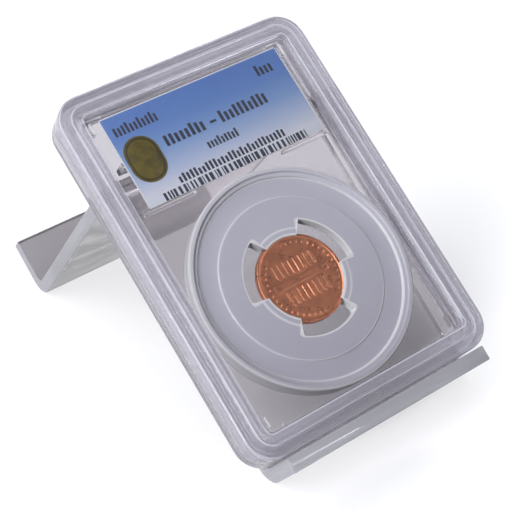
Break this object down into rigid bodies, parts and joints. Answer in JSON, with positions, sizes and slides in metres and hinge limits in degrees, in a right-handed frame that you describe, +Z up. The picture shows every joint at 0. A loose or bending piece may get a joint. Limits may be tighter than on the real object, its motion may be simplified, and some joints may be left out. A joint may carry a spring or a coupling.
{
  "type": "graded coin slab on stand",
  "caption": "Clear sealed coin slab with a label card and a round coin holder, leaning on a bent acrylic display stand.",
  "frame": {"origin": "centre of the bounding box at table level", "axes": "+Z up, +X across the slab, -Y towards the front that shows the coin"},
  "size_m": [0.06, 0.1134, 0.0653],
  "materials": {
    "clear_plastic": "clear polystyrene, glossy",
    "frosted_plastic": "clear polystyrene with a fine frosted web",
    "copper": "bright struck copper",
    "label_card": "printed coated card, blue fading to white",
    "badge_foil": "gold foil",
    "seal_foil": "silver foil",
    "clear_acrylic": "clear acrylic sheet with polished edges"
  },
  "bodies": {
    "stand": {"display_stand": "clear_acrylic"},
    "slab": {"front_shell": "clear_plastic", "rear_shell": "clear_plastic", "front_insert": "frosted_plastic", "rear_insert": "frosted_plastic", "coin": "copper", "label_card": "label_card", "label_badge": "badge_foil", "rear_seal": "seal_foil"}
  },
  "joints": [
    {"name": "slab_lift", "type": "slide", "parent": "stand", "child": "slab", "axis": [0, 0.7071, 0.7071], "range_m": [0, 0.085]}
  ]
}
